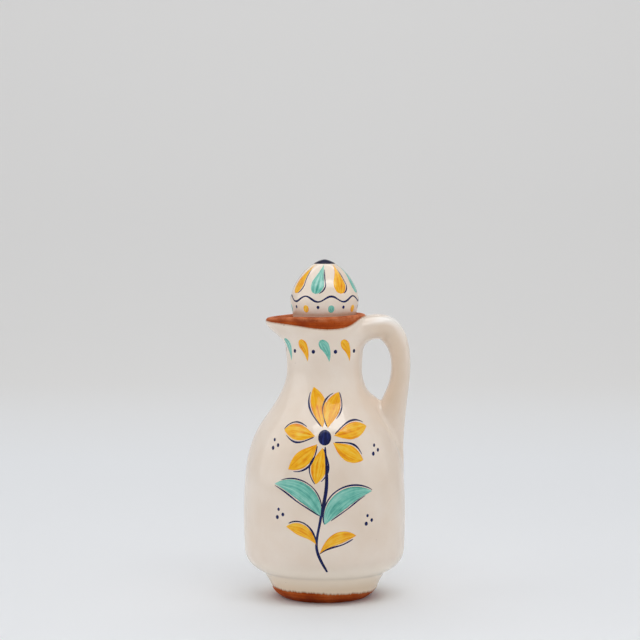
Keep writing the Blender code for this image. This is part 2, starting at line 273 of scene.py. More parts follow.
def makeGlaze(name):
    material, tree, shader = startMaterial(name)
    look = glazeFinish
    place = objectSpace(tree)
    height = axisOf(place, "Z")
    curdle = noise(place, look["curdle"])
    colour = ramp(noise(place, look["cloud"], 4), ((0.34, look["warm"]), (0.66, look["pale"])))
    colour = mixTone(spanOf(curdle, 0.5, 0.75, 0.0, 0.16), colour, look["warm"])
    # painted light: a whiter band just above the foot, partly pooled glaze, partly lifting the shade under
    # the belly
    colour = mixTone(spanOf(height, *look["pooledAndPaintedLightZ"], 0.9, 0.0), colour, look["pooledAndPaintedLight"])
    colour = mixTone(spanOf(height, *look["tanZ"], 0.85, 0.0), colour, look["tan"])
    dots = add(tree, "ShaderNodeTexVoronoi", {"Vector": place, "Scale": look["fleckGrid"]}, "Distance")
    few = spanOf(noise(place, look["fleckPatch"], 0), 0.62, 0.66, 0.0, 1.0)
    fleck = spanOf(dots, 0.03, 0.06, 0.55, 0.0) * few
    colour = mixTone(fleck, colour, look["fleck"])
    # painted shade: the strap's flanks and inner face darker and warmer, with a painted reflection of the red
    # clay
    colour = mixTone(pointValue(tree, "warmth") * look["flankShadeShare"], colour, look["side"])
    # painted highlight: whiter glaze on the up-facing crown of the handle
    colour = mixTone(pointValue(tree, "milky") * look["crownHighlightShare"], colour, look["crownHighlight"])
    # red-brown where the glaze runs thin at its edges, and on the knob painted shade and painted reflection
    # of the lip
    thin = pointValue(tree, "thin") * spanOf(curdle, 0.3, 0.6, 0.86, 1.0)
    peel = noise(place, look["peel"]) + noise(place, look["finePeel"], 1) * 0.15
    plug(shader, {
        "Base Color": mixTone(thin, colour, look["thin"]), "IOR": look["index"],
        "Roughness": spanOf(noise(place, look["glossPatch"]), 0.3, 0.7, *look["gloss"]),
        "Normal": bumpOf(peel - fleck, *look["bump"])})
    return material


clayFinish = {
    "deep": tone(138, 48, 8), "middle": tone(178, 76, 18), "light": tone(204, 108, 52), "blotch": 75,
    # worn tone: the lip's top lighter, partly rubbed wear and partly painted highlight
    "rings": (14, 14, 620), "worn": tone(208, 122, 78), "wornAndPaintedHighlightZ": (0.1640, 0.1659), "rubAndHighlightPatch": 210,
    "grit": tone(84, 32, 10), "grain": 1700, "rough": (0.62, 0.85), "shine": 0.15, "bump": (0.5, 0.0005),
}


def makeClay(name):
    material, tree, shader = startMaterial(name)
    look = clayFinish
    place = objectSpace(tree)
    rings = noise(objectSpace(tree, look["rings"]), 1.0, 3, 0.6)  # throwing lines lie level
    blend = rings * 0.45 + noise(place, look["blotch"], 3) * 0.55
    colour = ramp(blend, ((0.36, look["deep"]), (0.5, look["middle"]), (0.64, look["light"])))
    # painted highlight along the top of the lip, mixed with rubbed wear
    worn = spanOf(axisOf(place, "Z"), *look["wornAndPaintedHighlightZ"], 0.0, 1.0)
    worn = worn * spanOf(noise(place, look["rubAndHighlightPatch"], 3), 0.36, 0.6, 0.3, 1.0)
    colour = mixTone(worn, colour, look["worn"])
    grain = noise(place, look["grain"])
    plug(shader, {
        "Base Color": mixTone(spanOf(grain, 0.62, 0.72, 0.0, 0.6), colour, look["grit"]),
        "Roughness": spanOf(grain, 0.3, 0.7, *look["rough"]), "Specular IOR Level": look["shine"],
        "Normal": bumpOf(rings * 1.6 + grain, *look["bump"])})
    return material


corkFinish = {
    "light": tone(206, 164, 112), "bark": tone(168, 118, 72), "mottle": 260, "pore": tone(88, 54, 30),
    "pits": (240, 240, 520), "cells": 620, "rough": (0.8, 0.95), "bump": (0.6, 0.0004),
}


def makeCorkBark(name):
    material, tree, shader = startMaterial(name)
    look = corkFinish
    place = objectSpace(tree)
    cells = add(tree, "ShaderNodeTexVoronoi", {"Vector": place, "Scale": look["cells"]}, "Distance")
    colour = ramp(noise(place, look["mottle"], 4), ((0.35, look["bark"]), (0.65, look["light"])))
    pits = spanOf(noise(objectSpace(tree, look["pits"]), 1.0), 0.6, 0.68, 0.0, 1.0)
    plug(shader, {
        "Base Color": mixTone(pits, colour, look["pore"]),
        "Roughness": spanOf(cells, 0.0, 0.6, *look["rough"]),
        "Normal": bumpOf(cells - pits, *look["bump"])})
    return material


def brushPot(thick, body, watery, shine):
    return {"thick": tone(*thick), "body": tone(*body), "watery": tone(*watery), "shine": shine}


brushFinish = {
    "ochre": brushPot((234, 124, 0), (255, 186, 14), (255, 212, 80), 0.25),
    "teal": brushPot((58, 154, 138), (118, 200, 182), (172, 224, 210), 0.5),
    "cobalt": brushPot((10, 12, 40), (18, 25, 78), (38, 52, 120), 0.18),
}
capFinish = brushPot((10, 10, 44), (16, 20, 72), (30, 40, 104), 0.05)
brushGrain = {"along": 1.6, "across": 9.0, "seed": 41.0, "pool": 260, "gloss": (0.04, 0.09)}


def makeBrushColour(name, finish):
    material, tree, shader = startMaterial(name + "Paint")
    look = brushGrain
    hairs = joinAxes(*(pointValue(tree, label) * look[label] for label in ("along", "across", "seed")))
    pool = noise(objectSpace(tree), look["pool"], 3)
    wet = noise(hairs, 1.0, 3, 0.6) * 0.72 + pool * 0.28
    edge = calc("ABSOLUTE", pointValue(tree, "across") - 0.5)
    wet = wet - spanOf(edge, 0.36, 0.5, 0.0, 0.13)  # colour gathers at the rim
    stops = ((0.34, finish["thick"]), (0.5, finish["body"]), (0.68, finish["watery"]))
    plug(shader, {
        "Base Color": ramp(wet, stops), "Roughness": spanOf(pool, 0.3, 0.7, *look["gloss"]),
        "IOR": glazeFinish["index"], "Specular IOR Level": finish["shine"],
        "Normal": bumpOf(noise(objectSpace(tree), glazeFinish["peel"]), *glazeFinish["bump"])})
    return material


creamGlaze = makeGlaze("creamGlaze")
redClay = makeClay("redClay")
corkBark = makeCorkBark("corkBark")
brushColours = {name: makeBrushColour(name, finish) for name, finish in brushFinish.items()}
capCobalt = makeBrushColour("cap", capFinish)
print("finishes mixed")


# the thrown body: sizes as in the solids, in metres

bodyShape = {
    "gap": 0.0003, "glaze": 0.0005, "wall": 0.0045, "floor": 0.0075, "floorRound": 0.0040,
    "bevelHeight": 0.0056, "bevelInset": 0.0056, "bevelPower": 1.6, "footRadius": 0.0311,
    "waistZ": 0.0157, "bellyLowZ": 0.0309, "bellyHighZ": 0.0660, "shoulderZ": 0.1062, "neckZ": 0.1350,
    "rimZ": 0.1673, "waistRadius": 0.0360, "bellyRadius": 0.0468, "shoulderRadius": 0.0346,
    "neckRadius": 0.0215, "rimRadius": 0.0244, "footSlope": 0.03, "footTopSlope": 0.70,
    "undersideSlope": 2.10, "bellySlope": 0.055, "shoulderSlope": -0.73, "rimSlope": 0.10,
    "bareFoot": 0.0059, "bareLip": 0.0066, "bareInside": 0.0062, "lipRise": 0.0016, "rimLift": 0.0009,
}
skin = bodyShape["gap"] + bodyShape["glaze"]
lipRound = bodyShape["wall"] / 2 + skin
rimZ = bodyShape["rimZ"]
lipEdgeZ = rimZ - bodyShape["lipRise"]


def cubic(t, start, startSlope, end, endSlope):
    value = start * (2 * t**3 - 3 * t**2 + 1) + end * (3 * t**2 - 2 * t**3)
    return value + startSlope * (t**3 - 2 * t**2 + t) + endSlope * (t**3 - t**2)


def smoothStep(value):
    value = min(max(value, 0.0), 1.0)
    return value * value * (3.0 - 2.0 * value)


def bodyKnots():  # height, radius, slope from below, slope upwards
    size = bodyShape
    return (
        (size["bevelHeight"], size["footRadius"], 0.0, size["footSlope"]),
        (size["waistZ"], size["waistRadius"], size["footTopSlope"], size["undersideSlope"]),
        (size["bellyLowZ"], size["bellyRadius"], size["bellySlope"], size["bellySlope"]),
        (size["bellyHighZ"], size["bellyRadius"], -size["bellySlope"], -size["bellySlope"]),
        (size["shoulderZ"], size["shoulderRadius"], size["shoulderSlope"], size["shoulderSlope"]),
        (size["neckZ"], size["neckRadius"], 0.0, 0.0),
        (size["rimZ"], size["rimRadius"], size["rimSlope"], size["rimSlope"]),
    )


def outerRadius(z):
    size = bodyShape
    if z < size["bevelHeight"]:
        return size["footRadius"] - size["bevelInset"] * (1.0 - z / size["bevelHeight"]) ** size["bevelPower"]
    knots = bodyKnots()
    for (low, lowRadius, below, lowSlope), (high, highRadius, highSlope, above) in zip(knots, knots[1:]):
        if z <= high:
            length = high - low
            return cubic((z - low) / length, lowRadius, lowSlope * length, highRadius, highSlope * length)
    return size["rimRadius"]


def movedRadius(z, distance, fan=16):  # outline moved out by a true distance, or in if negative
    reach = abs(distance)
    values = []
    for step in range(-fan, fan + 1):
        shift = reach * math.sin(math.pi / 2 * step / fan)
        near = outerRadius(min(max(z + shift, 0.0), rimZ))
        values.append(near + math.copysign(math.sqrt(max(reach**2 - shift**2, 0.0)), distance))
    return max(values) if distance > 0 else min(values)


def spread(start, end, count):
    return [start + (end - start) * (step + 1) / count for step in range(count)]


# one tree turns any profile line on the wheel, pulls the spout and lets the glaze edges wander

wheel = {  # as for the body, unless a piece says otherwise
    "Sides": 384, "Spout Reach": 0.0103, "Spout Droop": 0.0014, "Spout Height": 0.0172,
    "Spout Spread": math.radians(31), "Lip Height": lipEdgeZ, "Lip Rise": bodyShape["lipRise"],
    "Lip Round": 0.0,
    "Spout Climb": 0.0052, "Spout Climb Spread": math.radians(40), "Handle Climb": 0.0057,
    "Handle Climb Spread": math.radians(45.5), "Rim Lift": bodyShape["rimLift"],
    "Rim Lift Spread": math.radians(70), "Edge Wave": 0.0004, "Ragged Rim": 0.0, "Ragged Foot": 0.0,
    "Ragged Scale": 24.0, "Ripple": 0.0, "Ripple Pitch": 120.0,
}
rowLabels = ("rimFollow", "footFollow", "slope", "thin")
seamWeld = 0.000004


def makeThrownTree():
    sockets = {"Profile": "Geometry", **dict.fromkeys(wheel, "Float"), "Sides": "Int", "Material": "Material"}
    tree, given = startTree("thrownForm", sockets)

    def at(value, kind="FLOAT"):  # a profile value, read at this row
        inputs = {"Geometry": given["Profile"], "Index": row, "Value": value}
        return add(tree, "GeometryNodeSampleIndex", inputs, data_type=kind)

    def wave(turns, start):
        return calc("SINE", angle * turns + start)

    def wander(height, scale):
        return (noise(joinAxes(cosine, sine, height), scale, 3.0) - 0.5) * 2.0

    def fade(turn, reach, power):  # 1 where the turn is nothing, falling to 0
        return calc("EXPONENT", calc("POWER", turn / reach, power) * -1.0)

    count = add(tree, "GeometryNodeAttributeDomainSize", {"Geometry": given["Profile"]}, "Point Count")
    sheet = add(tree, "GeometryNodeMeshGrid", {"Vertices X": given["Sides"] + 1.0, "Vertices Y": count})
    index = add(tree, "GeometryNodeInputIndex")
    column = calc("FLOOR", (index + 0.5) / count)
    row = index - column * count
    angle = column * (2 * math.pi / given["Sides"])
    cosine = calc("COSINE", angle)
    sine = calc("SINE", angle)
    spot = axisOf(at(add(tree, "GeometryNodeInputPosition"), "FLOAT_VECTOR"), "X")

    fromSpout = calc("ABSOLUTE", angle - math.pi)
    fromHandle = math.pi - fromSpout
    share = fade(fromSpout, given["Spout Spread"], 2.0)
    nearSpout = fade(fromSpout, given["Spout Climb Spread"], 1.5)
    nearHandle = fade(fromHandle, given["Handle Climb Spread"], 4.0)
    climb = nearSpout * given["Spout Climb"] + nearHandle * given["Handle Climb"]
    calm = (1.0 - (nearSpout + nearHandle)) * given["Edge Wave"]
    raggedRim = wander(0.0, given["Ragged Scale"]) * given["Ragged Rim"]
    raggedFoot = wander(7.0, given["Ragged Scale"]) * given["Ragged Foot"]
    rimSway = wave(2.0, 1.1) + wave(5.0, 0.0) * 0.5
    footSway = wave(3.0, 0.6) + wave(7.0, 2.0) * 0.6 - cosine * 2.0
    rimUp = climb + (calm * rimSway + raggedRim)
    footUp = footSway * given["Edge Wave"] + raggedFoot
    rimShare, footShare, slope, thin = (at(attributeValue(tree, label)) for label in rowLabels)
    up = rimShare * rimUp + footShare * footUp
    radius = spot + slope * up
    height = spot.out("Z") + up
    over = calc("MAXIMUM", height - given["Lip Height"], 0.0) / given["Lip Rise"]
    inset = 1.0 - calc("SQRT", calc("MAXIMUM", 1.0 - over * over, 0.0))  # glaze creeps over the lip
    radius = radius - inset * given["Lip Round"]

    ripple = wander(height * given["Ripple Pitch"], 1.0) * given["Ripple"]
    ripple = ripple * calc("MINIMUM", radius * 100.0, 1.0)
    rise = add(tree, "ShaderNodeMapRange", {
        "Value": height, "From Min": given["Lip Height"] - given["Spout Height"],
        "From Max": given["Lip Height"]}, interpolation_type="SMOOTHSTEP")
    pull = rise * share
    radius = radius + (pull * given["Spout Reach"] + ripple)
    height = height - pull * given["Spout Droop"]
    lift = fade(fromHandle, given["Rim Lift Spread"], 4.0) * given["Rim Lift"]
    place = joinAxes(radius * cosine, radius * sine, height + lift * rise)
    marked = storeValue(sheet, "thin", thin)
    shaped = add(tree, "GeometryNodeSetPosition", {"Geometry": marked, "Position": place})
    endTree(tree, shaped, given["Material"], seamWeld)
    return tree


thrownTree = makeThrownTree()


def throw(name, profile, material, **changes):  # rows: radius, height, rimFollow, footFollow, slope, thin
    rows = [tuple(row) + (0.0,) * (6 - len(row)) for row in profile]
    points = [(row[0], 0.0, row[1]) for row in rows]
    values = {label: [row[2 + place] for row in rows] for place, label in enumerate(rowLabels)}
    return runTree(lineObject(name, points, values), thrownTree, {**wheel, **changes, "Material": material})


# glazed wall, with a soft bead along the rim line and the foot line

wallGlaze = {
    "sides": 520, "rowStep": 0.0011, "edgeStep": 0.0005, "edgeZone": 0.006, "bead": 0.0005, "thinning": 0.45,
    "rimReach": 0.016, "footReach": 0.006, "thinRim": 0.0011, "thinFoot": 0.0013, "slopeStep": 0.0005,
    "hiddenDepth": 0.0006, "ripple": 0.00010, "raggedRim": 0.00022, "raggedFoot": 0.00120,
}


def glazedRow(radius, z, footZ, topZ):
    size = wallGlaze
    step = size["slopeStep"]
    slope = (outerRadius(min(z + step, rimZ)) - outerRadius(z - step)) / (2 * step)
    if z <= footZ + 2 * step:
        slope = bodyShape["footSlope"]
    foot = 1.0 - smoothStep((z - footZ) / size["footReach"])
    rim = smoothStep((z - topZ + size["rimReach"]) / size["rimReach"])
    thin = max(1.0 - (z - footZ) / size["thinFoot"], 1.0 - (topZ - z) / size["thinRim"], 0.0)
    return (radius, z, rim, foot, slope, min(thin, 1.0))


def glazeHeights(footZ, topZ):  # close rows at both edges, wider ones between
    size = wallGlaze
    edges = int(size["edgeZone"] / size["edgeStep"])
    low = footZ + size["edgeZone"]
    high = topZ - size["edgeZone"]
    heights = [footZ + size["bead"]] + spread(footZ + size["bead"], low, edges)
    heights += spread(low, high, int((high - low) / size["rowStep"]))
    return heights + spread(high, topZ - size["bead"], edges)


def makeGlazedWall():
    size = wallGlaze
    footZ = bodyShape["bareFoot"]
    topZ = rimZ - bodyShape["bareLip"]

    def thickness(z):  # thinner towards both edges
        near = min(z - footZ, topZ - z) / size["edgeZone"]
        return skin * (1.0 - size["thinning"] * (1.0 - smoothStep(near * 2.0)))

    rows = []
    for turn in (0.0, 0.5, 1.0, 1.4):
        z = footZ + size["bead"] * (1.0 - math.cos(turn))
        rows.append((movedRadius(footZ, thickness(footZ) * math.sin(turn)), z))
    rows += [(movedRadius(z, thickness(z)), z) for z in glazeHeights(footZ, topZ)]
    for turn in (0.2, 0.6, 1.1, math.pi / 2):
        z = topZ - size["bead"] * (1.0 - math.sin(turn))
        rows.append((movedRadius(topZ, thickness(topZ) * math.cos(turn)), z))
    rows += [(movedRadius(z, -size["hiddenDepth"]), z) for z in spread(topZ, footZ, 16)]
    rows.append(rows[0])
    profile = [glazedRow(radius, z, footZ, topZ) for radius, z in rows]
    return throw("glazedWall", profile, creamGlaze, **{
        "Sides": size["sides"], "Ripple": size["ripple"], "Lip Round": lipRound,
        "Ragged Rim": size["raggedRim"], "Ragged Foot": size["raggedFoot"]})


glazedWall = makeGlazedWall()
print("glazed wall thrown:", len(glazedWall.data.polygons), "faces")


# bare clay: foot, lip and what lies under the glaze

clayForm = {
    "baseRings": (0.010, 0.018, 0.0235), "wornEdge": 0.0003, "throat": 0.016,
    "ripple": 0.00016, "pitch": 420.0,
}


def floorRows(corner, lift, count):  # round from the wall to the middle of the floor
    size = bodyShape
    rows = []
    for turn in spread(0.0, math.pi / 2, count):
        inset = size["floorRound"] * (1.0 - math.cos(turn))
        drop = (size["floorRound"] - lift) * math.sin(turn)
        rows.append((corner - inset, size["floor"] + size["floorRound"] - drop))
    return rows + [(0.0, size["floor"] + lift)]


def makeClayBody():
    size = bodyShape
    worn = clayForm["wornEdge"]
    rows = [(radius, 0.0) for radius in (0.0, *clayForm["baseRings"])]
    rows += [(outerRadius(0.0) - worn, 0.0), (outerRadius(worn), worn)]
    heights = spread(worn, size["bevelHeight"], 12) + spread(size["bevelHeight"], size["waistZ"], 14)
    heights += spread(size["waistZ"], size["neckZ"], 40) + spread(size["neckZ"], lipEdgeZ, 40)
    rows += [(outerRadius(z), z) for z in heights]
    half = size["wall"] / 2
    for turn in spread(0.0, math.pi, 24):
        drop = (size["lipRise"] if turn < math.pi / 2 else half) * (1.0 - math.sin(turn))
        rows.append((size["rimRadius"] - half + half * math.cos(turn), rimZ - drop))
    throatZ = rimZ - clayForm["throat"]
    heights = spread(rimZ - half, throatZ, 16) + spread(throatZ, size["floor"] + size["floorRound"], 50)
    rows += [(movedRadius(z, -size["wall"]), z) for z in heights]
    rows += floorRows(rows[-1][0], 0.0, 5)
    return throw("clayBody", rows, redClay, **{
        "Ripple": clayForm["ripple"], "Ripple Pitch": clayForm["pitch"]})


clayBody = makeClayBody()
liningForm = {"sink": 0.0001, "thinEdge": 0.002, "ripple": 0.00016}


def makeLining():
    size = bodyShape
    topZ = rimZ - size["bareInside"]
    heights = [topZ] + spread(topZ, size["floor"] + size["floorRound"], 90)
    faces = []
    for lift in (skin, liningForm["sink"]):  # the face that shows, and the one in the clay
        rows = []
        for z in heights:
            thin = max(1.0 - (topZ - z) / liningForm["thinEdge"], 0.0)
            rows.append((movedRadius(z, -(size["wall"] + lift)), z, 0.0, 0.0, 0.0, thin))
        faces.append(rows + floorRows(rows[-1][0], lift, 6))
    inner, outer = faces
    return throw("liningGlaze", outer[::-1] + inner, creamGlaze, Ripple=liningForm["ripple"])


liningGlaze = makeLining()
print("clay body and lining thrown")


# strap handle: a line along its back carries the thickness and the width

handleShape = {
    "thickness": 0.0103, "width": 0.0165, "rootThickness": 0.0134, "rootWidth": 0.0250,
    "tailThickness": 0.0200, "tailWidth": 0.0100, "roundness": 2.6, "fingerRoom": 0.0168,
    "gripDrop": 0.0297, "rootDrop": 0.0079,
    "crownRise": 0.0124, "rootBend": 0.0355, "crownBend": 0.0180, "gripBend": 0.0152, "tailBend": 0.0460,
    "tailSink": 0.0012, "steps": 110, "sides": 84, "endRings": 6, "endsPartZ": 0.1155,
    "grip": 0.0094, "rootEase": 3.97, "innerEase": 578, "tailFrom": 0.67, "tailLength": 0.16,
    "swells": ((0.0006, 0.670, 0.095), (0.0041, 0.262, 0.146)),  # heel and crown: height, place, half length
}


def bezier(points, t):
    start, first, second, end = (np.array(point) for point in points)
    return start * (1 - t) ** 3 + first * 3 * t * (1 - t) ** 2 + second * 3 * t**2 * (1 - t) + end * t**3


def handleLine():
    size = handleShape
    gripX = bodyShape["neckRadius"] + 2 * skin + size["fingerRoom"] + size["thickness"]
    rootX = bodyShape["neckRadius"] - size["rootWidth"] / 2
    tailX = bodyShape["bellyRadius"] - size["tailSink"]
    gripZ = rimZ - size["gripDrop"]
    tailZ = bodyShape["bellyHighZ"]
    over = ((rootX, 0, rimZ - size["rootDrop"]), (rootX + size["rootBend"], 0, rimZ + size["crownRise"]),
            (gripX, 0, gripZ + size["crownBend"]), (gripX, 0, gripZ))
    down = ((gripX, 0, gripZ), (gripX, 0, gripZ - size["gripBend"]),
            (tailX, 0, tailZ + size["tailBend"]), (tailX, 0, tailZ))
    points = [bezier(over, 0.0)]
    for curve in (over, down):
        points += [bezier(curve, t) for t in spread(0.0, 1.0, size["steps"])]
    return points


def handleSection(share):
    size = handleShape
    root = 1.0 - smoothStep(share * size["rootEase"])
    tail = smoothStep((share - size["tailFrom"]) / size["tailLength"])
    thickness = size["grip"] + (size["rootThickness"] - size["grip"]) * root
    thickness += (size["tailThickness"] - size["grip"]) * tail
    for height, place, half in size["swells"]:
        thickness += height * max(1.0 - ((share - place) / half) ** 2, 0.0) ** 2
    width = size["width"] + (size["rootWidth"] - size["width"]) * (1.0 - smoothStep(share * 5.0 - 0.5))
    width += (size["tailWidth"] - size["width"]) * smoothStep(share * 3.0 - 2.0)
    return thickness, width


def handleRibs(line):  # thickness, width and lean of the strap at each point of its outer line
    sections = np.array([handleSection(step / (len(line) - 1)) for step in range(len(line))])
    outer = np.array(line)[:, (0, 2)]
    along = np.gradient(outer, axis=0)
    inner = outer - np.stack((-along[:, 1], along[:, 0]), 1) * (sections[:, 0] / np.hypot(*along.T))[:, None]
    for turn in range(handleShape["innerEase"]):  # rounds the bend over the finger hole
        inner[1:-1] += (inner[:-2] + inner[2:] - 2 * inner[1:-1]) / 4
    thickness = np.hypot(*(outer - inner).T)
    lean = (outer - inner) / thickness[:, None]
    return {"thickness": thickness, "width": sections[:, 1], "leanX": lean[:, 0], "leanZ": lean[:, 1]}


def makeStrapTree():
    tree, given = startTree("pulledStrap", {
        "Back": "Geometry", "Sides": "Int", "Roundness": "Float", "Proud": "Float", "Material": "Material"})

    def at(value, kind="FLOAT"):  # a value of the outer line, read at this step
        inputs = {"Geometry": given["Back"], "Index": step, "Value": value}
        return add(tree, "GeometryNodeSampleIndex", inputs, data_type=kind, clamp=True)

    def flattened(value):  # keeps the sign and squares the round off
        return calc("SIGN", value) * calc("POWER", calc("ABSOLUTE", value), 2.0 / given["Roundness"])

    count = add(tree, "GeometryNodeAttributeDomainSize", {"Geometry": given["Back"]}, "Point Count")
    wide = given["Sides"] + 1.0
    sheet = add(tree, "GeometryNodeMeshGrid", {"Vertices X": count, "Vertices Y": wide})
    index = add(tree, "GeometryNodeInputIndex")
    step = calc("FLOOR", (index + 0.5) / wide)
    turn = (index - step * wide) * (2 * math.pi / given["Sides"])
    cosine = calc("COSINE", turn)
    sine = calc("SINE", turn)
    labels = ("thickness", "width", "leanX", "leanZ")
    thickness, width, leanX, leanZ = (at(attributeValue(tree, label)) for label in labels)
    halfThick = thickness * 0.5
    out = flattened(cosine) * (halfThick + given["Proud"])
    aside = flattened(sine) * (width * 0.5 + given["Proud"])
    arm = vector("SCALE", joinAxes(leanX, 0.0, leanZ), scale=out - halfThick)
    place = vector("ADD", at(add(tree, "GeometryNodeInputPosition"), "FLOAT_VECTOR"), arm)
    place = vector("ADD", place, joinAxes(0.0, aside, 0.0))
    # painted shade mask: strongest on the flanks and the inner face of the strap
    flank = calc("POWER", calc("ABSOLUTE", sine), 3.0)
    inner = calc("MINIMUM", calc("MAXIMUM", 0.75 - cosine * 0.85, 0.0), 1.0)
    marked = storeValue(sheet, "warmth", flank * inner)
    shaped = add(tree, "GeometryNodeSetPosition", {"Geometry": marked, "Position": place})
    endTree(tree, shaped, given["Material"], seamWeld)
    return tree


def steadyOrder(form):  # points and faces come in the same order in each run
    for place, corner in enumerate(sorted(form.verts, key=lambda corner: tuple(corner.co))):
        corner.index = place
    form.verts.sort()
    ranked = sorted(form.faces, key=lambda face: sorted(corner.index for corner in face.verts))
    for place, face in enumerate(ranked):
        face.index = place
    form.faces.sort()


def closeEnds(mesh):  # with rings, so that the ends can follow the round wall
    form = bmesh.new()
    form.from_mesh(mesh)
    for left in range(handleShape["endRings"], 1, -1):
        rims = [edge for edge in form.edges if edge.is_boundary]
        grown = bmesh.ops.extrude_edge_only(form, edges=rims)["geom"]
        corners = [item for item in grown if isinstance(item, bmesh.types.BMVert)]
        for atRoot in (True, False):
            ring = [corner for corner in corners if (corner.co.z > handleShape["endsPartZ"]) == atRoot]
            middle = sum((corner.co for corner in ring), Vector()) / len(ring)
            for corner in ring:
                corner.co = middle + (corner.co - middle) * (1.0 - 1.0 / left)
    bmesh.ops.holes_fill(form, edges=[edge for edge in form.edges if edge.is_boundary], sides=0)
    bmesh.ops.recalc_face_normals(form, faces=form.faces)
    steadyOrder(form)
    form.to_mesh(mesh)
    form.free()


def makeHandle():
    line = handleLine()
    back = lineObject("glazedHandle", [tuple(point) for point in line], handleRibs(line))
    handle = runTree(back, makeStrapTree(), {
        "Sides": handleShape["sides"], "Roundness": handleShape["roundness"], "Proud": skin,
        "Material": creamGlaze})
    closeEnds(handle.data)
    return handle


glazedHandle = makeHandle()
print("handle pulled:", len(glazedHandle.data.polygons), "faces")


# luting: both pieces swell towards one rounded hollow where they meet

luting = {
    "tableFrom": 0.005, "tableRows": 420, "pace": 0.6, "most": 0.0030, "handleTurns": 24, "wallTurns": 14,
    "filletZ": (0.066, 0.082, 0.115, 0.140, rimZ - 0.010, rimZ - 0.004),
    "fillets": (0.0003, 0.0034, 0.0034, 0.0046, 0.0046, 0.0006), "search": 0.02,
    "bury": 0.0003, "buryFrom": 0.0004, "buryOver": 0.0008, "sunk": 0.0022, "sunkEase": 0.04,
    "axisRoom": 0.001, "lipClear": 0.0007, "lipRoom": 0.0003, "blend": 0.010,
    # where the painted highlight on the handle's crown falls: by how far the surface faces up, and by height
    "crownHighlightTilt": (0.02, 0.7), "crownHighlightZ": (0.148, 0.014),
    "nearX": 0.012, "nearZ": 0.055, "nearDepth": 0.0002,
    "smear": 0.0030, "smearZ": 0.1155, "smearReach": (0.0048, 0.30),
}
heightTable = np.linspace(luting["tableFrom"], rimZ, luting["tableRows"])
wallTable = np.array([movedRadius(z, skin) for z in heightTable])
overLip = np.clip(heightTable - lipEdgeZ, 0.0, None) / bodyShape["lipRise"]
radiusTable = wallTable - lipRound * (1.0 - np.sqrt(np.clip(1.0 - overLip**2, 0.0, None)))
slopeTable = np.gradient(radiusTable, heightTable)


def bodyDistance(points):
    z = np.clip(points[:, 2], heightTable[0], heightTable[-1])
    side = np.hypot(points[:, 0], points[:, 1]) - np.interp(z, heightTable, radiusTable)
    side /= np.sqrt(1.0 + np.interp(z, heightTable, slopeTable) ** 2)
    return np.maximum(side, points[:, 2] - rimZ)


def softMinimum(first, second, reach):
    near = np.clip(reach - np.abs(first - second), 0.0, None) / reach
    return np.minimum(first, second) - near * near * reach / 4


def shareOf(values, start, length):
    return np.clip((values - start) / length, 0.0, 1.0)


def filletReach(points):
    return np.interp(points[:, 2], luting["filletZ"], luting["fillets"])


def lipHeight(radius):  # highest the handle may reach above the lip
    half = bodyShape["wall"] / 2
    across = np.clip((radius - bodyShape["rimRadius"] + half) / half, -1.0, 1.0)
    drop = bodyShape["lipRise"] * (1.0 - np.sqrt(1.0 - across**2)) + luting["lipClear"]
    inside = radius < bodyShape["rimRadius"] + luting["lipRoom"]
    return np.where(inside, rimZ + bodyShape["rimLift"] - drop, 1.0)


def strapSurface():  # the handle as it is before it swells
    mesh = glazedHandle.data
    corners = [corner.co.copy() for corner in mesh.vertices]
    return BVHTree.FromPolygons(corners, [tuple(face.vertices) for face in mesh.polygons])


def swellHandle():
    size = luting
    mesh = glazedHandle.data
    points = pointArray(mesh, "co")
    normals = pointArray(mesh, "normal")
    buried = size["bury"] * shareOf(-bodyDistance(points), size["buryFrom"], size["buryOver"])
    swell = np.zeros(len(points))
    for turn in range(size["handleTurns"]):
        moved = points + normals * swell[:, None]
        swell -= size["pace"] * softMinimum(bodyDistance(moved), swell, filletReach(moved))
        swell = np.clip(swell, 0.0, size["most"])
    moved = points + normals * swell[:, None]
    reach = np.hypot(moved[:, 0], moved[:, 1])
    least = np.interp(moved[:, 2], heightTable, wallTable) - size["sunk"]  # the ends stay in the clay wall
    pushed = np.maximum(reach - buried, least + size["sunkEase"] * np.minimum(reach - least, 0.0))
    moved[:, :2] *= (pushed / np.maximum(reach, size["axisRoom"]))[:, None]
    moved[:, 2] = np.minimum(moved[:, 2], lipHeight(np.hypot(moved[:, 0], moved[:, 1])))
    mesh.vertices.foreach_set("co", moved.ravel())
    mesh.update()
    away = shareOf(bodyDistance(moved), 0.0, size["blend"])
    # the painted flank shade fades out where the strap meets the wall
    warmth = np.zeros(len(points))
    mesh.attributes["warmth"].data.foreach_get("value", warmth)
    mesh.attributes["warmth"].data.foreach_set("value", warmth * away)
    # painted highlight mask on the up-facing crown, fading out at the wall
    milky = shareOf(normals[:, 2], *size["crownHighlightTilt"]) * shareOf(moved[:, 2], *size["crownHighlightZ"])
    mesh.attributes.new("milky", "FLOAT", "POINT").data.foreach_set("value", milky * away)


